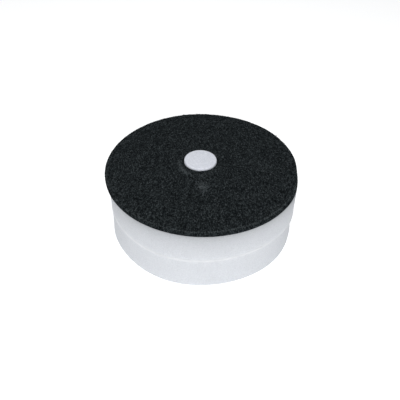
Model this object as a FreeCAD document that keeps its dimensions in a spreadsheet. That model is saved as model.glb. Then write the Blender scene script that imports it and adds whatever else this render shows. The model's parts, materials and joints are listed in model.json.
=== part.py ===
"""Round sponge filter: a carbon fleece pad bonded on two white foam sponges, with a foam plug.

The stack stands on its flat underside, with the origin at the centre of that face and +Z up.
From below, an intake tube is pushed into the bore of the lower sponge. The plug closes the wider
bore above it, so that water can only reach the tube through the foam. It pulls out upwards.
All lengths are in millimetres.
"""

import FreeCAD, Part
import math
import os

import Sketcher

SIZES = [
    # alias, value, what it is
    ("pad_radius", 75.0, "carbon pad, outer radius"),
    ("pad_thickness", 2.5, "carbon pad, thickness"),
    ("pad_edge_round", 0.6, "carbon pad, rounding of its upper rim"),
    ("bond_thickness", 0.3, "hot-melt web between two layers"),
    ("bond_edge_inset", 0.8, "how far a web stops short of the layer's edge"),
    ("bond_hole_inset", 1.5, "how far a web stops short of the plug's bore"),
    ("sponge_thickness", 25.0, "each foam sponge"),
    ("upper_top_radius", 74.6, "upper sponge, radius of its top face"),
    ("upper_base_radius", 74.0, "upper sponge, radius at the seam"),
    ("upper_hollow", 0.3, "upper sponge, how far the die-cut edge draws in"),
    ("lower_top_radius", 74.8, "lower sponge, radius at the seam"),
    ("lower_base_radius", 75.3, "lower sponge, radius of its underside"),
    ("lower_hollow", 0.5, "lower sponge, how far the die-cut edge draws in"),
    ("plug_bore_radius", 13.0, "hole through the pad and the upper sponge"),
    ("tube_bore_radius", 10.0, "hole through the lower sponge, for a 20 mm tube"),
    ("plug_radius", 12.8, "foam plug"),
    ("plug_proud", 1.5, "how far the plug stands above the pad"),
    ("plug_top_round", 1.1, "plug, rounding of its upper rim"),
    ("plug_foot_chamfer", 0.6, "plug, lead-in at its foot"),
]

doc = FreeCAD.newDocument("sponge_filter")


def make_sheet():
    """The driving dimensions, one aliased cell each."""
    sheet = doc.addObject("Spreadsheet::Sheet", "Sizes")
    for row, (alias, value, meaning) in enumerate(SIZES, start=1):
        sheet.set(f"A{row}", meaning)
        sheet.set(f"B{row}", str(value))
        sheet.setAlias(f"B{row}", alias)
    doc.recompute()
    return sheet


sheet = make_sheet()
size = {alias: float(sheet.get(alias)) for alias, _, _ in SIZES}

LOWER_FACE = "0"
SEAM = "Sizes.sponge_thickness"
UPPER_FACE = "Sizes.sponge_thickness + Sizes.bond_thickness"
UPPER_TOP = "2 * Sizes.sponge_thickness + Sizes.bond_thickness"
PAD_FACE = "2 * Sizes.sponge_thickness + 2 * Sizes.bond_thickness"


def new_body(label, height):
    """A body for one sub-part, standing at a height that the sheet works out."""
    body = doc.addObject("PartDesign::Body", label)
    body.Label = label
    body.setExpression("Placement.Base.z", height)
    return body


def new_sketch(body, name, plane):
    """A sketch on one of the body's own origin planes."""
    sketch = body.newObject("Sketcher::SketchObject", name)
    origin = next(f for f in body.Origin.OriginFeatures if f.Role == plane)
    sketch.AttachmentSupport = [(origin, "")]
    sketch.MapMode = "FlatFace"
    return sketch


def bind(sketch, constraint, name, formula):
    """Adds a dimension to a sketch, names it and ties it to the sheet."""
    index = sketch.addConstraint(constraint)
    sketch.renameConstraint(index, name)
    sketch.setExpression(f"Constraints.{name}", formula)


def ring_body(label, height, outer, inner, thickness):
    """A flat ring: two concentric circles padded upwards."""
    body = new_body(label, height)
    sketch = new_sketch(body, label + "_outline", "XY_Plane")
    centre, up = FreeCAD.Vector(0, 0, 0), FreeCAD.Vector(0, 0, 1)
    start = {"outer": size["pad_radius"], "inner": size["plug_bore_radius"]}
    for name, formula in (("outer", outer), ("inner", inner)):
        circle = sketch.addGeometry(Part.Circle(centre, up, start[name]), False)
        sketch.addConstraint(Sketcher.Constraint("Coincident", circle, 3, -1, 1))
        bind(sketch, Sketcher.Constraint("Radius", circle, start[name]), name, formula)
    pad = body.newObject("PartDesign::Pad", label + "_pad")
    pad.Profile = sketch
    pad.setExpression("Length", thickness)
    return body


def hollow_radius(height, hollow):
    """The radius of the arc that draws in by hollow over an edge of that height."""
    return (height**2 / 4 + hollow**2) / (2 * hollow)


def sponge_body(label, height, base, top, bore, hollow):
    """A foam disc with a bore, turned from a profile whose outer edge is drawn in by the die."""
    body = new_body(label, height)
    sketch = new_sketch(body, label + "_profile", "XZ_Plane")
    tall = size["sponge_thickness"]
    corners = [
        FreeCAD.Vector(size[bore], 0, 0),
        FreeCAD.Vector(size[base], 0, 0),
        FreeCAD.Vector(size[top], tall, 0),
        FreeCAD.Vector(size[bore], tall, 0),
    ]
    floor = sketch.addGeometry(Part.LineSegment(corners[0], corners[1]), False)
    ceiling = sketch.addGeometry(Part.LineSegment(corners[2], corners[3]), False)
    wall = sketch.addGeometry(Part.LineSegment(corners[3], corners[0]), False)

    chord = corners[2] - corners[1]
    radius = hollow_radius(chord.Length, size[hollow])
    middle = (corners[1] + corners[2]) * 0.5
    outwards = FreeCAD.Vector(chord.y, -chord.x, 0).normalize()
    centre = middle + outwards * math.sqrt(radius**2 - chord.Length**2 / 4)
    angles = [math.atan2(c.y - centre.y, c.x - centre.x) % (2 * math.pi) for c in corners[1:3]]
    circle = Part.Circle(centre, FreeCAD.Vector(0, 0, 1), radius)
    edge = sketch.addGeometry(Part.ArcOfCircle(circle, angles[1], angles[0]), False)

    for first, second in (
        ((floor, 2), (edge, 2)),
        ((edge, 1), (ceiling, 1)),
        ((ceiling, 2), (wall, 1)),
        ((wall, 2), (floor, 1)),
    ):
        sketch.addConstraint(Sketcher.Constraint("Coincident", *first, *second))
    sketch.addConstraint(Sketcher.Constraint("Horizontal", floor))
    sketch.addConstraint(Sketcher.Constraint("Horizontal", ceiling))
    sketch.addConstraint(Sketcher.Constraint("Vertical", wall))
    sketch.addConstraint(Sketcher.Constraint("PointOnObject", floor, 1, -1))
    for name, kind, item, value in (
        ("bore_radius", "DistanceX", (floor, 1), bore),
        ("base_radius", "DistanceX", (floor, 2), base),
        ("top_radius", "DistanceX", (ceiling, 1), top),
        ("thickness", "DistanceY", (ceiling, 1), "sponge_thickness"),
    ):
        rule = Sketcher.Constraint(kind, -1, 1, *item, size[value])
        bind(sketch, rule, name, f"Sizes.{value}")
    bind(
        sketch,
        Sketcher.Constraint("Radius", edge, radius),
        "edge_radius",
        f"((Sizes.sponge_thickness ^ 2 + (Sizes.{top} - Sizes.{base}) ^ 2) / 4"
        f" + Sizes.{hollow} ^ 2) / (2 * Sizes.{hollow})",
    )

    turned = body.newObject("PartDesign::Revolution", label + "_turned")
    turned.Profile = sketch
    turned.ReferenceAxis = (sketch, ["V_Axis"])
    turned.Angle = 360.0
    return body


def rim_names(feature, radius, height):
    """The circular edges of a feature with that radius at that height, by name."""
    near = 1e-4
    return [
        f"Edge{number}"
        for number, edge in enumerate(feature.Shape.Edges, start=1)
        if isinstance(edge.Curve, Part.Circle)
        and abs(edge.Curve.Radius - radius) < near
        and abs(edge.Curve.Center.z - height) < near
    ]


def dress_rim(body, base, kind, radius, height, cell):
    """Rounds or chamfers the rim of that radius and height."""
    doc.recompute()
    dressed = body.newObject(f"PartDesign::{kind}", f"{body.Label}_{kind.lower()}")
    dressed.Base = (base, rim_names(base, radius, height))
    dressed.setExpression("Radius" if kind == "Fillet" else "Size", cell)
    return dressed


def make_pad():
    """The black carbon fleece on top."""
    body = ring_body(
        "carbon_pad",
        PAD_FACE,
        "Sizes.pad_radius",
        "Sizes.plug_bore_radius",
        "Sizes.pad_thickness",
    )
    dress_rim(
        body,
        body.Tip,
        "Fillet",
        size["pad_radius"],
        size["pad_thickness"],
        "Sizes.pad_edge_round",
    )
    return body


def make_bond(label, height, edge):
    """A hot-melt web, a little smaller than the layers that it joins."""
    return ring_body(
        label,
        height,
        f"Sizes.{edge} - Sizes.bond_edge_inset",
        "Sizes.plug_bore_radius + Sizes.bond_hole_inset",
        "Sizes.bond_thickness",
    )


def make_plug():
    """The foam plug. It rests on the lower sponge, and fills the bore up to the pad."""
    body = new_body("core_plug", SEAM)
    sketch = new_sketch(body, "core_plug_outline", "XY_Plane")
    disc = Part.Circle(FreeCAD.Vector(0, 0, 0), FreeCAD.Vector(0, 0, 1), size["plug_radius"])
    circle = sketch.addGeometry(disc, False)
    sketch.addConstraint(Sketcher.Constraint("Coincident", circle, 3, -1, 1))
    rule = Sketcher.Constraint("Radius", circle, size["plug_radius"])
    bind(sketch, rule, "radius", "Sizes.plug_radius")
    pad = body.newObject("PartDesign::Pad", "core_plug_pad")
    pad.Profile = sketch
    pad.setExpression(
        "Length",
        "Sizes.sponge_thickness + 2 * Sizes.bond_thickness + Sizes.pad_thickness + Sizes.plug_proud",
    )
    doc.recompute()
    tall = pad.Length.Value
    crown = dress_rim(body, pad, "Fillet", size["plug_radius"], tall, "Sizes.plug_top_round")
    dress_rim(body, crown, "Chamfer", size["plug_radius"], 0, "Sizes.plug_foot_chamfer")
    return body


parts = [
    sponge_body(
        "lower_sponge",
        LOWER_FACE,
        "lower_base_radius",
        "lower_top_radius",
        "tube_bore_radius",
        "lower_hollow",
    ),
    make_bond("seam_bond", SEAM, "upper_base_radius"),
    sponge_body(
        "upper_sponge",
        UPPER_FACE,
        "upper_base_radius",
        "upper_top_radius",
        "plug_bore_radius",
        "upper_hollow",
    ),
    make_bond("pad_bond", UPPER_TOP, "upper_top_radius"),
    make_pad(),
    make_plug(),
]

doc.recompute()

for item in doc.Objects:
    if {"Invalid", "Error"} & set(item.State):
        raise RuntimeError(f"{item.Label} failed: {item.State}")
for part in parts:
    if part.Shape.isNull() or not part.Shape.isValid() or len(part.Shape.Solids) != 1:
        raise RuntimeError(f"{part.Label} isn't one valid solid")

os.makedirs("parts", exist_ok=True)
for part in parts:
    part.Shape.exportStep(f"parts/{part.Label}.step")
    box = part.Shape.BoundBox
    print(
        f"{part.Label}: {box.XLength:.2f} x {box.YLength:.2f} x {box.ZLength:.2f} mm,"
        f" from z {box.ZMin:.2f}, volume {part.Shape.Volume / 1000:.2f} cm3"
    )
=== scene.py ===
"""The looks of a round sponge filter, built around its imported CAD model.

Two white foam discs are glued into a stack under a black needled fleece, and a foam plug fills the
hole in the middle. Every length is in metres, in the CAD model's frame.
"""

import json
import math

import bpy
import numpy as np
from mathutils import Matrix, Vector, noise


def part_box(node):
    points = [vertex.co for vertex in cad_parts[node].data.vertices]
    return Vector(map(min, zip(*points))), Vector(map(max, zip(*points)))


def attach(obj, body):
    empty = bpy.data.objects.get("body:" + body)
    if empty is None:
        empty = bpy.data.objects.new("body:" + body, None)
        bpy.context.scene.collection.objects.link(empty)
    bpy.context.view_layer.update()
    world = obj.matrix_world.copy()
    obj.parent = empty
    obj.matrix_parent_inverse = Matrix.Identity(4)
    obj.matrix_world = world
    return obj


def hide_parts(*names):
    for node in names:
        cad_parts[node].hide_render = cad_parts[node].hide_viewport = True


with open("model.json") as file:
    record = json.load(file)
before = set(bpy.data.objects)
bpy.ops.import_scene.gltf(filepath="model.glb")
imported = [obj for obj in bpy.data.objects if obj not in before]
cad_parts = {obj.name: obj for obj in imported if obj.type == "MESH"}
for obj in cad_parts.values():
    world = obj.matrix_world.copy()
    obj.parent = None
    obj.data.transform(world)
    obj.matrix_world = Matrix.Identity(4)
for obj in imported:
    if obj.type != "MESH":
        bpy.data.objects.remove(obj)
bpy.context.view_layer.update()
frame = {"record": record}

MM = 0.001


# ---------------------------------------------------------------- sizes taken from the CAD model


def cad_disc(node):
    """Radius, underside and top of a CAD disc."""
    low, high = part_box(node)
    return (high.x - low.x) / 2, low.z, high.z


PAD_RADIUS, PAD_LOW, PAD_TOP = cad_disc("carbon_pad")
PLUG_RADIUS, PLUG_LOW, PLUG_TOP = cad_disc("core_plug")
LOWER_RADIUS, FLOOR, LOWER_TOP = cad_disc("lower_sponge")
UPPER_RADIUS, UPPER_LOW, UPPER_TOP = cad_disc("upper_sponge")
_, SEAM_WEB_LOW, SEAM_WEB_TOP = cad_disc("seam_bond")
PAD_WEB_RADIUS, PAD_WEB_LOW, PAD_WEB_TOP = cad_disc("pad_bond")
TUBE_BORE = next(m for m in frame["record"]["mounts"] if m["name"] == "tube_bore")
TUBE_RADIUS = TUBE_BORE["dims"]["r_mm"] * MM
PLUG_CLEARANCE = 0.2 * MM
BORE_RADIUS = PLUG_RADIUS + PLUG_CLEARANCE
SEAM = (LOWER_TOP + UPPER_LOW) / 2

# ---------------------------------------------------------------- how the real one is out of true

CROWN = 2.3 * MM  # the pad's middle stands above its rim
TILT = (-0.0106, 0.001)  # the pad's slope in x and y: it is lower on the right
PAD_WAVE = 0.25 * MM
PAD_WAVE_LENGTH = 26 * MM
HOLE_SHIFT = (-1.25 * MM, 2.45 * MM)  # the hole is punched off centre
HOLE_SHIFT_ENDS = 40 * MM  # the radius beyond which the shift isn't felt
# how far the sides stand out, in mm, at each share of the foam's height
RIGHT_SIDE = ((0, 0.0), (0.2, -0.5), (0.49, -0.7), (0.505, 1.4), (0.8, 1.2), (1, 0.4))
LEFT_SIDE = ((0, 0.0), (0.3, -0.3), (0.5, -0.6), (0.7, -0.8), (0.9, -0.9), (1, -0.3))


def bell(angle, centre, width):
    """A smooth bump of height 1 round that angle. Both are in degrees."""
    gap = (np.degrees(angle) - centre + 180) % 360 - 180
    return np.exp(-((gap / width) ** 2))


def smooth(low, high, value):
    """0 below low, 1 above high and a smooth step between them."""
    t = np.clip((value - low) / (high - low), 0, 1)
    return t * t * (3 - 2 * t)


def pad_outline(angle):
    """How far the pad's edge is outside its true circle."""
    oval = 0.7 - 0.7 * np.cos(2 * angle) - 0.2 * np.cos(3 * angle)
    flat = -1.1 * bell(angle, -6, 11) + 0.4 * bell(angle, -30, 11)
    bulge = 0.7 * bell(angle, 45, 24) + 0.6 * bell(angle, 108, 25) - 0.7 * bell(angle, -88, 38)
    return (oval + flat + bulge) * MM


def foam_outline(angle):
    """How far the foam's edge is outside its true circle, at the base."""
    oval = -0.8 * np.cos(2 * angle) - 0.35 * np.sin(2 * angle)
    lobes = 0.1 * np.cos(3 * angle) - 0.35 * np.sin(3 * angle)
    right = 0.55 * bell(angle, -48, 18) - 0.4 * bell(angle, -20, 8)
    left = 0.75 * bell(angle, -109, 21) + 0.35 * bell(angle, -158, 10)
    return (oval + lobes + right + left) * MM


def side_outline(angle, share):
    """How far the right and left sides bulge or draw in, by their share of the foam's height."""
    right = np.interp(share, *zip(*RIGHT_SIDE)) * bell(angle, -20, 24)
    left = np.interp(share, *zip(*LEFT_SIDE)) * bell(angle, -165, 24)
    return (right + left) * MM


def seam_rise(angle):
    """How far the seam's edge is above its true height: it sags on the right."""
    front = 1.2 * bell(angle, -145, 20) + 0.9 * bell(angle, -64, 16)
    return (front - 2.2 * bell(angle, -17, 18)) * MM


def noise_at(points, length, seed=0.0):
    """Smooth noise from -1 to 1 at each point, with that wavelength."""
    shift = Vector((seed, seed * 1.7, seed * 0.6))
    return np.array([noise.noise(Vector(p) / length + shift) for p in points])


def settle(points):
    """Moves points from the true CAD discs to where the soft, hand-glued stack has them."""
    x, y, z = points.T.copy()
    radius = np.hypot(x, y)
    angle = np.arctan2(y, x)
    share = np.clip(z / PAD_LOW, 0, 1)

    edge = foam_outline(angle) * (1 - share) + pad_outline(angle) * share
    edge += np.where(z < PAD_LOW, side_outline(angle, share), 0)
    factor = 1 + edge * (radius / PAD_RADIUS) ** 3 / np.maximum(radius, MM)
    near_hole = (1 - smooth(BORE_RADIUS, HOLE_SHIFT_ENDS, radius)) * smooth(FLOOR, SEAM, z)

    flat = np.column_stack([x, y, np.zeros_like(x)])
    wave = noise_at(flat, PAD_WAVE_LENGTH, seed=4.0) * PAD_WAVE
    pad_rise = CROWN * (1 - (radius / PAD_RADIUS) ** 2) + TILT[0] * x + TILT[1] * y + wave
    rise = np.interp(z, [FLOOR, SEAM], [0, 1]) * seam_rise(angle) * (radius / PAD_RADIUS) ** 2
    above = np.clip((z - SEAM) / (PAD_LOW - SEAM), 0, 1)
    rise = rise * (1 - above) + pad_rise * above

    return np.column_stack(
        [
            x * factor + HOLE_SHIFT[0] * near_hole,
            y * factor + HOLE_SHIFT[1] * near_hole,
            z + rise,
        ]
    )


# ---------------------------------------------------------------- meshes of rings

FEWEST_STEPS = 80  # a ring isn't halved below this count
RIM_STEP = 0.3 * MM  # from a wall's last ring in to the first ring of the face beside it


def face_rings(height, outer, inner, gap, count):
    """Rings across a flat face, from its rim in to its bore, with cells about gap wide."""
    rings = []
    radius = outer
    while radius > inner:
        cell = 2 * math.pi * radius / count
        rings.append((radius, height, count))
        if cell < gap / 1.5 and count > FEWEST_STEPS:
            count //= 2
            cell *= 2
        radius -= cell
    rings.append((inner, height, count))
    return rings


def bore_rings(radius, top, bottom, rows, count_top, count_bottom):
    """Rings down a bore, between the counts of the two faces that it joins."""
    rings = []
    count = count_top
    for height in np.linspace(top, bottom, rows + 2)[1:-1]:
        if count > count_bottom:
            count //= 2
        elif count < count_bottom:
            count *= 2
        rings.append((radius, height, count))
    return rings


def stitch(first, count, second, next_count):
    """Faces between two rings that have the same count, or one twice the other's."""
    if count == next_count:
        k = np.arange(count)
        n = (k + 1) % count
        return np.column_stack([first + k, first + n, second + n, second + k]).tolist()
    few = min(count, next_count)
    k = np.arange(few)
    n = (k + 1) % few
    if count > next_count:
        left, middle, right = first + 2 * k, first + 2 * k + 1, first + 2 * n
        low, high = second + k, second + n
        faces = [(left, middle, low), (middle, high, low), (middle, right, high)]
    else:
        left, right = first + k, first + n
        low, middle, high = second + 2 * k, second + 2 * k + 1, second + 2 * n
        faces = [(left, middle, low), (left, right, middle), (right, high, middle)]
    return [row for face in faces for row in np.column_stack(face).tolist()]


def mesh_piece(name, points, faces):
    """A smooth-shaded mesh object of that name."""
    mesh = bpy.data.meshes.new(name)
    mesh.from_pydata(points.tolist(), [], faces)
    mesh.validate()
    mesh.shade_smooth()
    piece = bpy.data.objects.new(name, mesh)
    bpy.context.scene.collection.objects.link(piece)
    return piece


def revolve(name, rings, bored=True):
    """A closed solid through those rings, settled into the real shape.

    With a bore the last ring joins the first, and without one both ends are capped.
    """
    points, starts = [], []
    for radius, height, count in rings:
        starts.append(len(points))
        angle = np.arange(count) * 2 * math.pi / count
        ring = np.column_stack(
            [radius * np.cos(angle), radius * np.sin(angle), np.full(count, height)]
        )
        points.extend(ring.tolist())
    faces = []
    for i, (_, _, count) in enumerate(rings[: None if bored else -1]):
        j = (i + 1) % len(rings)
        faces += stitch(starts[i], count, starts[j], rings[j][2])
    if not bored:
        faces.append(list(range(rings[0][2]))[::-1])
        faces.append(list(range(starts[-1], starts[-1] + rings[-1][2])))
    points = np.array(points)
    piece = mesh_piece(name, settle(points), faces)
    attribute(piece, "level", points[:, 2] / PAD_LOW)
    return piece


def coordinates(piece):
    """The mesh's points, one row each."""
    flat = np.empty(len(piece.data.vertices) * 3)
    piece.data.vertices.foreach_get("co", flat)
    return flat.reshape(-1, 3)


def normals(piece):
    """The mesh's normals, one row for each point."""
    flat = np.empty(len(piece.data.vertices) * 3)
    piece.data.vertices.foreach_get("normal", flat)
    return flat.reshape(-1, 3)


def push(piece, distance):
    """Moves each point along its normal."""
    moved = coordinates(piece) + normals(piece) * distance[:, None]
    piece.data.vertices.foreach_set("co", moved.ravel())
    piece.data.update()


def attribute(piece, name, values):
    """Keeps a number for each point, for a material to read."""
    layer = piece.data.attributes.new(name, "FLOAT", "POINT")
    layer.data.foreach_set("value", values)


def read_attribute(piece, name):
    """The numbers kept for each point."""
    values = np.empty(len(piece.data.vertices))
    piece.data.attributes[name].data.foreach_get("value", values)
    return values


# ---------------------------------------------------------------- foam

CELL = 1.05 * MM
CELL_DEPTH = 0.17 * MM
WAVINESS = 0.16 * MM
WALL_STEPS = 1280
HIDDEN_GAP = 3.0 * MM  # the cells of faces that never show
SEAM_LIP = LOWER_RADIUS - 1.0 * MM  # the lower sponge's radius at the seam
SEAM_WALL = UPPER_RADIUS - 0.6 * MM  # the upper sponge's radius at the seam


def cells_at(points, size, seed):
    """0 in the middle of each foam cell, rising to about 1 at the struts between them."""
    shift = Vector((seed, -seed, seed * 0.5))
    found = (noise.voronoi(Vector(p) / size + shift)[0] for p in points)
    return np.array([min(d[0], 1.0) for d in found])


def roughen_foam(piece, seed, depth=CELL_DEPTH, waviness=WAVINESS):
    """Cuts the cells open, and makes the cut surface a little wavy. It fades towards the seam."""
    points = coordinates(piece)
    cells = cells_at(points, CELL, seed)
    broad = noise_at(points, 17 * MM, seed)
    uneven = noise_at(points, 4 * MM, seed + 3)
    height = (cells - 0.55) * depth * (1 + 0.6 * uneven) + broad * waviness + uneven * waviness / 3
    from_seam = np.abs(read_attribute(piece, "level") * PAD_LOW - SEAM)
    push(piece, height * (0.2 + 0.8 * smooth(0.3 * MM, 2.5 * MM, from_seam)))
    attribute(piece, "cell", cells)


def wall_profile(low, high, base, top, hollow, rim, rows):
    """Radius and height up a die-cut edge, which draws in between its two rounded rims."""
    profile = []
    for t in np.linspace(0, 1, rows):
        height = low + (high - low) * t
        radius = base + (top - base) * t - hollow * 4 * t * (1 - t)
        from_rim = min(height - low, high - height)
        if from_rim < rim:
            radius -= rim - math.sqrt(rim**2 - (rim - from_rim) ** 2)
        profile.append((radius, height))
    return profile


def foam_disc(name, low, high, base, top, hollow, rim, bore, rows, top_gap, base_gap):
    """A foam disc with a bore, its cut wall in fine cells."""
    wall = [(r, z, WALL_STEPS) for r, z in wall_profile(low, high, base, top, hollow, rim, rows)]
    ceiling = face_rings(high, wall[-1][0] - RIM_STEP, bore, top_gap, WALL_STEPS)
    floor = face_rings(low, wall[0][0] - RIM_STEP, bore, base_gap, WALL_STEPS)
    shaft = bore_rings(bore, high, low, 24, ceiling[-1][2], floor[-1][2])
    return revolve(name, wall + ceiling + shaft + floor[::-1])


def make_lower_foam():
    """The lower sponge. Its rim stands a little outside the upper one's."""
    piece = foam_disc(
        "lower_foam",
        FLOOR,
        LOWER_TOP,
        base=LOWER_RADIUS - 0.2 * MM,
        top=SEAM_LIP,
        hollow=0.5 * MM,
        rim=0.3 * MM,
        bore=TUBE_RADIUS,
        rows=44,
        top_gap=HIDDEN_GAP,
        base_gap=1.3 * MM,
    )
    roughen_foam(piece, seed=1.0)
    lift_onto_floor(piece)
    return piece


def lift_onto_floor(piece):
    """Flattens what would reach under the floor."""
    points = coordinates(piece)
    points[:, 2] = np.maximum(points[:, 2], FLOOR)
    piece.data.vertices.foreach_set("co", points.ravel())
    piece.data.update()


def make_upper_foam():
    """The upper sponge, which narrows towards the seam."""
    piece = foam_disc(
        "upper_foam",
        UPPER_LOW,
        UPPER_TOP,
        base=SEAM_WALL,
        top=UPPER_RADIUS,
        hollow=0.3 * MM,
        rim=0.2 * MM,
        bore=BORE_RADIUS,
        rows=56,
        top_gap=HIDDEN_GAP,
        base_gap=HIDDEN_GAP,
    )
    roughen_foam(piece, seed=2.0)
    return piece


def make_plug():
    """The foam plug: a soft-shouldered, slightly domed top on a straight shaft."""
    shoulder, dome, steps = 1.3 * MM, 0.3 * MM, 320
    side = PLUG_RADIUS - 0.1 * MM
    rings = face_rings(PLUG_LOW, side - 0.5 * MM, 0.6 * MM, 1.5 * MM, steps)[::-1]
    rings += [(side, z, steps) for z in np.linspace(PLUG_LOW + 0.5 * MM, PLUG_TOP - shoulder, 60)]
    for turn in np.linspace(0, math.pi / 2, 7)[1:]:
        radius = side - shoulder * (1 - math.cos(turn))
        rings.append((radius, PLUG_TOP - shoulder * (1 - math.sin(turn)), steps))
    edge = rings[-1][0]
    for radius, _, count in face_rings(PLUG_TOP, edge - 0.3 * MM, 0.4 * MM, 0.35 * MM, steps):
        rings.append((radius, PLUG_TOP + dome * (1 - (radius / edge) ** 2), count))
    piece = revolve("plug_foam", rings, bored=False)
    roughen_foam(piece, seed=3.0, depth=0.05 * MM, waviness=0.05 * MM)
    return piece


# ---------------------------------------------------------------- glue webs

WEB_INSET = 1.5 * MM  # how far a web stops short of the plug's bore
FILM_UNDER, FILM_OVER = 1.2 * MM, 1.3 * MM  # how far the seam's film reaches down and up
FILM_SUNK = 0.15 * MM  # how deep its two edges lie in the foam
FILM_SWELL = 0.30 * MM  # how far its middle stands out from its edges
FILM_ROOT = 0.6 * MM  # where it joins the web, in from the foam's wall


def make_web(name, edge):
    """A thin web of hot-melt glue between two layers, its edge profile given from its base up."""
    outer = [(radius, height, WALL_STEPS) for radius, height in edge]
    inner = BORE_RADIUS + WEB_INSET
    top = face_rings(edge[-1][1], edge[-1][0] - RIM_STEP, inner, HIDDEN_GAP, WALL_STEPS)
    base = face_rings(edge[0][1], edge[0][0] - RIM_STEP, inner, HIDDEN_GAP, WALL_STEPS)
    return revolve(name, outer + top + base[::-1])


def make_seam_web():
    """The seam's glue: a soft film that bridges the two rims, its edges sunk into the foam."""
    low, high = SEAM_WEB_LOW - FILM_UNDER, SEAM_WEB_TOP + FILM_OVER
    edge = [(SEAM_LIP - FILM_ROOT, SEAM_WEB_LOW)]
    for t in np.linspace(0, 1, 15):
        proud = FILM_SWELL * math.sin(math.pi * t) - FILM_SUNK
        edge.append((SEAM_LIP + (SEAM_WALL - SEAM_LIP) * t + proud, low + (high - low) * t))
    edge.append((SEAM_WALL - FILM_ROOT, SEAM_WEB_TOP))
    return make_web("seam_web", edge)


def make_pad_web():
    """The glue under the fleece."""
    edge = PAD_WEB_RADIUS + 0.4 * MM
    return make_web("pad_web", [(edge, z) for z in np.linspace(PAD_WEB_LOW, PAD_WEB_TOP, 4)])


# ---------------------------------------------------------------- fleece

PAD_STEPS = 960
PAD_CELL = 0.6 * MM
PAD_INSET = 0.1 * MM  # the fleece is this much smaller than its solid, to leave room for its nap
ROUND_OVER = 0.9 * MM
NAP_GRID = 0.25 * MM
NAP_FIBRES = 26000
NAP_LENGTH = 7 * MM
NAP_POINTS = 48
NAP_DEPTH = 0.30 * MM
LUMP = 0.12 * MM
LUMP_LENGTH = 0.9 * MM
RIDGE_HEIGHT = 0.10 * MM  # the ridge that is pressed into the pad near its rim
RIDGE_RADIUS = 73.8 * MM
WORN_HEIGHT = 0.18 * MM
CREASE_RADIUS = 17.6 * MM
SCUFF = (0.5 * MM, -29.5 * MM)
SCUFF_SIZE = (3.2 * MM, 5.0 * MM)
FIBRE_POINTS = 6
FIBRE_BEND = 0.9
FIBRE_LIFT = 0.30 * MM
FIBRE_LOOSE = 0.08 * MM


def spread(random, number, inner, outer):
    """Random places over a ring, evenly spread."""
    radius = np.sqrt(random.uniform(inner**2, outer**2, number))
    angle = random.uniform(0, 2 * math.pi, number)
    return np.column_stack([radius * np.cos(angle), radius * np.sin(angle)])


def fibre_paths(random, starts, length, points):
    """Curly paths that lie flat: an array of number x points x 2."""
    number = len(starts)
    heading = random.uniform(0, 2 * math.pi, (number, 1))
    curl = random.normal(0, FIBRE_BEND, (number, 1)) * np.linspace(-1, 1, points)
    wander = np.cumsum(random.normal(0, FIBRE_BEND / 3, (number, points)), axis=1)
    angle = heading + curl + wander
    size = length * random.lognormal(0, 0.35, (number, 1)) / points
    steps = np.stack([np.cos(angle), np.sin(angle)], axis=2) * size[:, :, None]
    path = np.cumsum(steps, axis=1)
    return starts[:, None, :] + path - path.mean(axis=1, keepdims=True)


def nap_map(random):
    """The relief of many fibres laid over one another, from 0 to 1, on a square grid."""
    side = int(2 * (PAD_RADIUS + 2 * MM) / NAP_GRID)
    nap = np.zeros((side, side))
    starts = spread(random, NAP_FIBRES, 0, PAD_RADIUS + MM)
    paths = fibre_paths(random, starts, NAP_LENGTH, NAP_POINTS)
    level = np.repeat(random.uniform(0.25, 1.0, NAP_FIBRES), NAP_POINTS)
    index = np.clip((paths.reshape(-1, 2) / NAP_GRID + side / 2).astype(int), 0, side - 1)
    np.maximum.at(nap, (index[:, 0], index[:, 1]), level)
    for axis in (0, 1):
        nap = (np.roll(nap, 1, axis) + 2 * nap + np.roll(nap, -1, axis)) / 4
    return nap


def sample(grid, x, y):
    """The grid's value at each point, blended between cells."""
    side = len(grid)
    u = np.clip(x / NAP_GRID + side / 2 - 0.5, 0, side - 1.001)
    v = np.clip(y / NAP_GRID + side / 2 - 0.5, 0, side - 1.001)
    i, j = u.astype(int), v.astype(int)
    s, t = u - i, v - j
    low = grid[i, j] * (1 - s) + grid[i + 1, j] * s
    high = grid[i, j + 1] * (1 - s) + grid[i + 1, j + 1] * s
    return low * (1 - t) + high * t


def wear_and_ridge_highlight(x, y):
    """How rubbed or painted-highlit the fleece is, 0 to 1: a rubbed scuff, a rubbed crease by the
    hole, and a painted highlight along the front of the pressed ridge by the rim.
    """
    radius, angle = np.hypot(x, y), np.arctan2(y, x)
    across, along = (x - SCUFF[0]) / SCUFF_SIZE[0], (y - SCUFF[1]) / SCUFF_SIZE[1]
    scuff = np.exp(-(across**2) - along**2)
    crease = bell(angle, 208, 30) * np.exp(-(((radius - CREASE_RADIUS) / (1.3 * MM)) ** 2))
    # painted highlight where the pressed ridge faces the front
    ridge = bell(angle, -85, 95) * np.exp(-(((radius - RIDGE_RADIUS) / (0.7 * MM)) ** 2))
    return np.clip(scuff + crease + 0.5 * ridge, 0, 1)


def wear_and_highlight_places(random, number):
    """Random places where the fleece is rubbed, and along the ridge's painted highlight."""
    tries = spread(random, number * 60, BORE_RADIUS + MM, PAD_RADIUS - MM)
    chosen = random.uniform(0, 1, len(tries)) < wear_and_ridge_highlight(tries[:, 0], tries[:, 1]) ** 1.5
    return tries[chosen][:number]


def pad_marks(x, y):
    """The pad's own relief: a pressed ridge near its rim, and the rubbed places a little raised."""
    ridge = np.exp(-(((np.hypot(x, y) - RIDGE_RADIUS) / (0.8 * MM)) ** 2))
    return RIDGE_HEIGHT * ridge + WORN_HEIGHT * wear_and_ridge_highlight(x, y)


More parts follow.
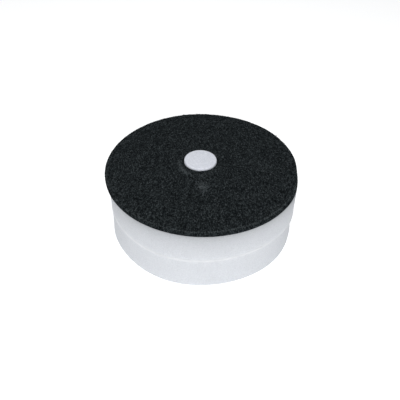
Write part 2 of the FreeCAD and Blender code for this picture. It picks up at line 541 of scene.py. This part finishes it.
def make_fleece(nap):
    """The black needled fleece with its hole."""
    low, top, outer, hole = PAD_LOW, PAD_TOP, PAD_RADIUS - PAD_INSET, BORE_RADIUS
    heights = np.linspace(low + PAD_INSET, top - ROUND_OVER, 6)
    side = [(outer, z, PAD_STEPS) for z in heights]
    for turn in np.linspace(0, math.pi / 2, 5)[1:]:
        radius = outer - ROUND_OVER * (1 - math.cos(turn))
        side.append((radius, top - ROUND_OVER * (1 - math.sin(turn)), PAD_STEPS))
    face = face_rings(top, side[-1][0] - 0.4 * MM, hole + 0.5 * MM, PAD_CELL, PAD_STEPS)
    face.append((hole + 0.1 * MM, top - 0.35 * MM, face[-1][2]))
    base = face_rings(low, PAD_RADIUS - 0.4 * MM, hole, HIDDEN_GAP, PAD_STEPS)
    shaft = bore_rings(hole, top - 0.5 * MM, low, 6, face[-1][2], base[-1][2])
    piece = revolve("fleece", side + face + shaft + base[::-1])
    points, facing = coordinates(piece), normals(piece)
    x, y, z = points.T
    up = np.clip(facing[:, 2], 0, 1)
    nap_here = sample(nap, x, y)
    lumps = noise_at(points, LUMP_LENGTH, seed=5.0) * LUMP
    height = (nap_here - 0.5) * NAP_DEPTH * (0.3 + 0.7 * up) + lumps
    push(piece, np.where(facing[:, 2] < -0.5, 0, height) + pad_marks(x, y) * up)
    attribute(piece, "nap", nap_here)
    attribute(piece, "wear_and_highlight", wear_and_ridge_highlight(x, y) * up)
    return piece


def on_pad(x, y):
    """Points on the fleece's top, settled as it is."""
    flat = np.column_stack([x, y, np.full(len(x), PAD_TOP)])
    points = settle(flat)
    points[:, 2] += pad_marks(x, y)
    return points


def tube_mesh(name, paths, thickness):
    """Thin closed tubes with three sides, one along each path."""
    number, points, _ = paths.shape
    along = np.gradient(paths, axis=1)
    along /= np.linalg.norm(along, axis=2, keepdims=True)
    across = np.cross(along, [0.0, 0.0, 1.0])
    across /= np.maximum(np.linalg.norm(across, axis=2, keepdims=True), 1e-6)
    over = np.cross(across, along)
    taper = np.sin(np.linspace(0.12, math.pi - 0.12, points)) ** 0.5
    radius = thickness[:, None] / 2 * taper[None, :]
    corners = []
    for turn in (math.pi / 2, math.pi * 7 / 6, math.pi * 11 / 6):
        side = across * math.cos(turn) + over * math.sin(turn)
        corners.append(paths + side * radius[:, :, None])
    co = np.stack(corners, axis=2).reshape(-1, 3)
    start = (np.arange(number) * points * 3)[:, None]
    k = np.arange(points - 1)[None, :] * 3 + start
    faces = []
    for a, b in ((0, 1), (1, 2), (2, 0)):
        faces.append(np.stack([k + a, k + 3 + a, k + 3 + b, k + b], axis=2).reshape(-1, 4))
    quads = np.concatenate(faces).tolist()
    first = start + np.array([[0, 1, 2]])
    last = start + (points - 1) * 3 + np.array([[2, 1, 0]])
    return mesh_piece(name, co, quads + first.tolist() + last.tolist())


def make_fibres(name, random, starts, length, thickness):
    """Single fibres that lie over the fleece, their ends tucked into it."""
    points, number = FIBRE_POINTS, len(starts)
    paths = fibre_paths(random, starts, length, points)
    x, y = paths[:, :, 0].ravel(), paths[:, :, 1].ravel()
    radius = np.hypot(x, y)
    outside = (radius > PAD_RADIUS + 0.2 * MM) | (radius < BORE_RADIUS + 0.1 * MM)
    keep = ~outside.reshape(number, points).any(axis=1)
    paths = on_pad(x, y).reshape(number, points, 3)
    arch = np.sin(np.linspace(0, math.pi, points))
    rise = random.uniform(0.2, 1.0, (number, 1)) * FIBRE_LIFT
    rise += random.exponential(FIBRE_LOOSE, (number, 1))
    jitter = random.normal(0, 0.03 * MM, (number, points))
    paths[:, :, 2] += rise * arch - 0.12 * MM + jitter
    routes = paths[keep]
    girth = thickness * random.uniform(0.6, 1.3, len(routes))
    return tube_mesh(name, routes, girth)


# ---------------------------------------------------------------- materials


class Recipe:
    """A node material that is built up one node at a time."""

    def __init__(self, name):
        self.material = bpy.data.materials.new(name)
        self.material.use_nodes = True
        self.tree = self.material.node_tree
        self.shader = self.tree.nodes["Principled BSDF"]
        self.place = self.tree.nodes.new("ShaderNodeTexCoord").outputs["Object"]

    def add(self, kind, settings=(), **inputs):
        """A node, with its settings and its inputs, which are numbers or other nodes' sockets."""
        made = self.tree.nodes.new("ShaderNode" + kind)
        for key, value in dict(settings).items():
            setattr(made, key, value)
        for key, value in inputs.items():
            self.feed(made.inputs[key.replace("_", " ")], value)
        return made

    def feed(self, socket, value):
        """Links a socket, or sets its number."""
        if isinstance(value, bpy.types.NodeSocket):
            self.tree.links.new(value, socket)
        else:
            socket.default_value = value

    def noise(self, length, detail=3.0, distortion=0.0, vector=None):
        """Noise from 0 to 1, with that wavelength."""
        made = self.add(
            "TexNoise",
            Vector=vector or self.place,
            Scale=1 / length,
            Detail=detail,
            Distortion=distortion,
        )
        return made.outputs["Fac"]

    def ramp(self, value, *stops):
        """Colours or greys by value: each stop is a position and a colour."""
        made = self.add("ValToRGB", Fac=value)
        while len(made.color_ramp.elements) < len(stops):
            made.color_ramp.elements.new(1.0)
        for element, (position, colour) in zip(made.color_ramp.elements, stops):
            element.position = position
            element.color = (*colour, 1)
        return made.outputs["Color"]

    def reads(self, name):
        """A number kept on the mesh."""
        return self.add("Attribute", {"attribute_name": name}).outputs["Fac"]

    def maths(self, operation, first, second):
        """Two values combined."""
        made = self.add("Math", {"operation": operation})
        self.feed(made.inputs[0], first)
        self.feed(made.inputs[1], second)
        return made.outputs["Value"]

    def mix(self, share, first, second, blend="MIX"):
        """Two colours mixed."""
        made = self.add("Mix", {"data_type": "RGBA", "blend_type": blend})
        self.feed(made.inputs[0], share)
        self.feed(made.inputs[6], first)
        self.feed(made.inputs[7], second)
        return made.outputs[2]

    def bump(self, height, distance, strength):
        """Small relief, which the shader's normal takes."""
        made = self.add("Bump", Height=height, Distance=distance, Strength=strength)
        return made.outputs["Normal"]

    def set(self, **inputs):
        """Sets the shader's sockets."""
        for key, value in inputs.items():
            self.feed(self.shader.inputs[key.replace("_", " ")], value)


# painted light and shade by share of the foam's height: lighter low down, paler at the seam, shaded
# under the pad
HEIGHT_PAINTED_LIGHT = (
    (0.00, 1.0),
    (0.06, 0.962),
    (0.14, 0.942),
    (0.26, 0.920),
    (0.43, 0.908),
    (0.475, 0.935),
    (0.53, 0.955),
    (0.575, 0.893),
    (0.65, 0.862),
    (0.73, 0.826),
    (0.81, 0.781),
    (0.89, 0.714),
    (0.95, 0.642),
    (0.985, 0.56),
)
PORE = 0.50 * MM
PORE_DEPTH = 0.25 * MM
PORE_WARP = 0.0006  # metres, by noise with a wavelength of PORE_WARP_LENGTH
PORE_WARP_LENGTH = 2.5 * MM


def foam_material(name, light, shade, painted_by_height):
    """Fine open-cell foam: matt, a little translucent, with pores darkened by painted shade between
    pale struts.
    """
    r = Recipe(name)
    warp = r.add("TexNoise", Vector=r.place, Scale=1 / PORE_WARP_LENGTH).outputs["Color"]
    bent = r.mix(PORE_WARP, r.place, warp, "ADD")
    pores = r.add("TexVoronoi", Vector=bent, Scale=1 / PORE).outputs["Distance"]
    # painted shade in the pores
    pits = r.ramp(pores, (0.08, (0.74, 0.74, 0.75)), (0.34, (0.96, 0.96, 0.96)), (0.6, (1, 1, 1)))
    mottle = r.maths(
        "ADD",
        r.maths("MULTIPLY", r.noise(9 * MM, detail=4), 0.30),
        r.maths("MULTIPLY", r.noise(1.3 * MM, detail=2), 0.30),
    )
    # the sunk middles of the cut cells are darker: painted shade in them
    level = r.maths("ADD", r.maths("MULTIPLY", r.reads("cell"), 0.40), mottle)
    tone = r.mix(1.0, r.ramp(level, (0.20, shade), (0.62, light)), pits, "MULTIPLY")
    # painted light and shade by height, on the sponges only
    if painted_by_height:
        tone = r.mix(1.0, tone, painted_light_by_height(r), "MULTIPLY")
    r.set(Base_Color=tone, Roughness=0.95, Normal=r.bump(pores, PORE_DEPTH, 0.8))
    r.set(Subsurface_Weight=0.25, Subsurface_Radius=(1.0, 1.0, 1.1), Subsurface_Scale=2.0 * MM)
    r.set(Specular_IOR_Level=0.15)
    return r.material


def painted_light_by_height(r):
    """How light the foam is painted by height: painted light from the floor low down, paler in a
    band at the seam, and painted shade that greys it under the pad."""
    stops = [(level, (shade, shade, shade)) for level, shade in HEIGHT_PAINTED_LIGHT]
    return r.ramp(r.reads("level"), *stops)


STREAK_TURNS = (0.35, 1.4, 2.5)  # three directions that the painted fibres lie in


def fleece_material():
    """Black needled fleece: matt tangled fibres with a faint cool sheen."""
    r = Recipe("fleece")
    streaks = []
    for turn in STREAK_TURNS:
        laid = r.add("Mapping", Vector=r.place)
        laid.inputs["Rotation"].default_value = (0, 0, turn)
        laid.inputs["Scale"].default_value = (1.0, 0.45, 0.6)
        streaks.append(r.noise(0.8 * MM, detail=2, distortion=0.5, vector=laid.outputs["Vector"]))
    fibres = r.maths("MAXIMUM", r.maths("MAXIMUM", streaks[0], streaks[1]), streaks[2])
    nap = r.reads("nap")
    # low places in the nap are darker: partly fewer fibres, partly painted shade in the hollows
    level = r.maths("ADD", r.maths("MULTIPLY", fibres, 0.88), r.maths("MULTIPLY", nap, 0.12))
    # rubbed places are lighter, and the pressed ridge's front gets a painted highlight
    level = r.maths("ADD", level, r.maths("MULTIPLY", r.reads("wear_and_highlight"), 0.18))
    tone = r.ramp(
        level,
        (0.46, (0.0014, 0.0022, 0.0027)),
        (0.58, (0.0072, 0.0094, 0.0104)),
        (0.75, (0.054, 0.063, 0.066)),
    )
    r.set(Base_Color=tone, Roughness=0.9, Normal=r.bump(fibres, 0.25 * MM, 0.8))
    r.set(Specular_IOR_Level=0.02)
    return r.material


def fibre_material(name, dark, pale):
    """Single fibres, each a little lighter or darker along its length."""
    r = Recipe(name)
    tone = r.ramp(r.noise(2.5 * MM, detail=1), (0.3, dark), (0.7, pale))
    r.set(Base_Color=tone, Roughness=0.7, Specular_IOR_Level=0.05)
    return r.material


def glue_material():
    """Pale hot-melt glue."""
    r = Recipe("hot_melt")
    tone = r.ramp(r.noise(6 * MM), (0.3, (0.565, 0.576, 0.595)), (0.7, (0.632, 0.641, 0.662)))
    r.set(Base_Color=tone, Roughness=0.5, Normal=r.bump(r.noise(1 * MM), 0.1 * MM, 0.4))
    r.set(Subsurface_Weight=0.3, Subsurface_Radius=(1.0, 1.0, 1.0), Subsurface_Scale=1.0 * MM)
    return r.material


def floor_material():
    """A plain pale floor."""
    r = Recipe("pale_floor")
    tone = r.ramp(r.noise(0.3), (0.3, (0.93, 0.93, 0.93)), (0.7, (0.95, 0.95, 0.95)))
    r.set(Base_Color=tone, Roughness=0.9, Specular_IOR_Level=0.1)
    r.set(Emission_Color=(1, 1, 1, 1), Emission_Strength=FLOOR_GLOW)
    return r.material


def dress(piece, material, body, slot, *nodes):
    """Gives a piece its material and its body, and hides the CAD nodes that it stands for. The slot
    is not used.
    """
    piece.data.materials.append(material)
    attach(piece, body)
    if nodes:
        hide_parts(*nodes)


# ---------------------------------------------------------------- stage, light and camera

CAMERA_PLACE = (-1.6 * MM, -281.2 * MM, 265.5 * MM)
CAMERA_ELEVATION = math.radians(41.54)
CAMERA_LENS = 40.5  # on a SENSOR mm wide sensor
SENSOR = 36
FLOOR_DROP = 0.05 * MM  # keeps the floor from lying in the same plane as the foam's base
FLOOR_RADIUS = 6.0
FLOOR_GLOW = 0.30  # lights up the shadow, which is hardly seen on a white studio floor


def make_stage():
    """The floor, which isn't part of the object."""
    bpy.ops.mesh.primitive_circle_add(vertices=96, radius=FLOOR_RADIUS, fill_type="NGON")
    floor = bpy.context.object
    floor.name = "floor"
    floor.location.z = -FLOOR_DROP
    floor.data.materials.append(floor_material())


def make_lamp(name, place, size, watts, colour=(1, 1, 1)):
    """A square soft box that faces the object."""
    data = bpy.data.lights.new(name, "AREA")
    data.size, data.energy, data.color = size, watts, colour
    lamp = bpy.data.objects.new(name, data)
    bpy.context.scene.collection.objects.link(lamp)
    lamp.location = place
    aim = Vector((0, 0, SEAM)) - lamp.location
    lamp.rotation_euler = aim.to_track_quat("-Z", "Y").to_euler()


def make_light():
    """Even studio light: a white surround, a large soft box overhead and one from the front."""
    world = bpy.data.worlds.new("studio")
    bpy.context.scene.world = world
    world.use_nodes = True
    surround = world.node_tree.nodes["Background"]
    surround.inputs["Color"].default_value = (0.97, 0.985, 1.0, 1)
    surround.inputs["Strength"].default_value = 0.43
    make_lamp("overhead", (-0.10, 0.05, 1.1), 1.0, 5.0)
    make_lamp("front", (0.05, -1.1, 0.55), 0.5, 8.0, (0.98, 0.99, 1.0))
    bpy.context.scene.view_settings.view_transform = "Standard"


def make_camera():
    """A camera where the real one stood."""
    data = bpy.data.cameras.new("camera")
    data.lens, data.sensor_width = CAMERA_LENS, SENSOR
    data.clip_start, data.clip_end = 0.01, 50
    camera = bpy.data.objects.new("camera", data)
    bpy.context.scene.collection.objects.link(camera)
    camera.location = CAMERA_PLACE
    camera.rotation_euler = (math.pi / 2 - CAMERA_ELEVATION, 0, 0)
    bpy.context.scene.camera = camera


# ---------------------------------------------------------------- everything


SEED = 190
WHITE_LIGHT, WHITE_SHADE = (0.656, 0.672, 0.701), (0.588, 0.603, 0.632)
PLUG_LIGHT, PLUG_SHADE = (0.720, 0.740, 0.795), (0.580, 0.600, 0.655)
# name, number of fibres, extra ones on the rubbed places and painted highlight, and length and
# thickness in mm
FIBRES = (
    ("fibres_dark", 5600, 0, 3.0, 0.30),
    ("fibres_grey", 5000, 60, 2.8, 0.24),
    ("fibres_pale", 3400, 420, 2.2, 0.22),
)
# the darkest and the palest that each kind of fibre gets; the pale fibres are partly painted glints
FIBRE_SHADES = {
    "fibres_dark": ((0.002, 0.003, 0.0035), (0.0052, 0.0068, 0.008)),
    "fibres_grey": ((0.010, 0.0125, 0.0138), (0.023, 0.0275, 0.0295)),
    "fibres_pale": ((0.037, 0.043, 0.046), (0.102, 0.114, 0.119)),
}


def build_sponges():
    """The two white discs."""
    white = foam_material("white_foam", WHITE_LIGHT, WHITE_SHADE, painted_by_height=True)
    lower, upper = make_lower_foam(), make_upper_foam()
    dress(lower, white, "stack", "white_foam", "lower_sponge")
    dress(upper, white, "stack", "white_foam", "upper_sponge")
    return lower, upper


def build_glue():
    """The two webs."""
    glue = glue_material()
    dress(make_seam_web(), glue, "stack", "hot_melt", "seam_bond")
    dress(make_pad_web(), glue, "stack", "hot_melt", "pad_bond")


def build_fleece():
    """The fleece and the loose fibres on it."""
    random = np.random.default_rng(SEED)
    fleece = make_fleece(nap_map(random))
    dress(fleece, fleece_material(), "stack", "carbon_fleece", "carbon_pad")
    for name, number, extra, length, thickness in FIBRES:
        starts = spread(random, number, BORE_RADIUS + MM, PAD_RADIUS - MM)
        starts = np.concatenate([starts, wear_and_highlight_places(random, extra)])
        fibres = make_fibres(name, random, starts, length * MM, thickness * MM)
        dress(fibres, fibre_material(name, *FIBRE_SHADES[name]), "stack", "carbon_fleece")
    return fleece


def build_plug():
    """The plug, whose foam is a little bluer."""
    plug = make_plug()
    bluish = foam_material("plug_foam", PLUG_LIGHT, PLUG_SHADE, painted_by_height=False)
    dress(plug, bluish, "plug", "plug_foam", "core_plug")
    return plug


def main():
    """Builds every piece."""
    make_stage()
    make_light()
    make_camera()
    lower, upper = build_sponges()
    build_glue()
    fleece = build_fleece()
    plug = build_plug()


main()
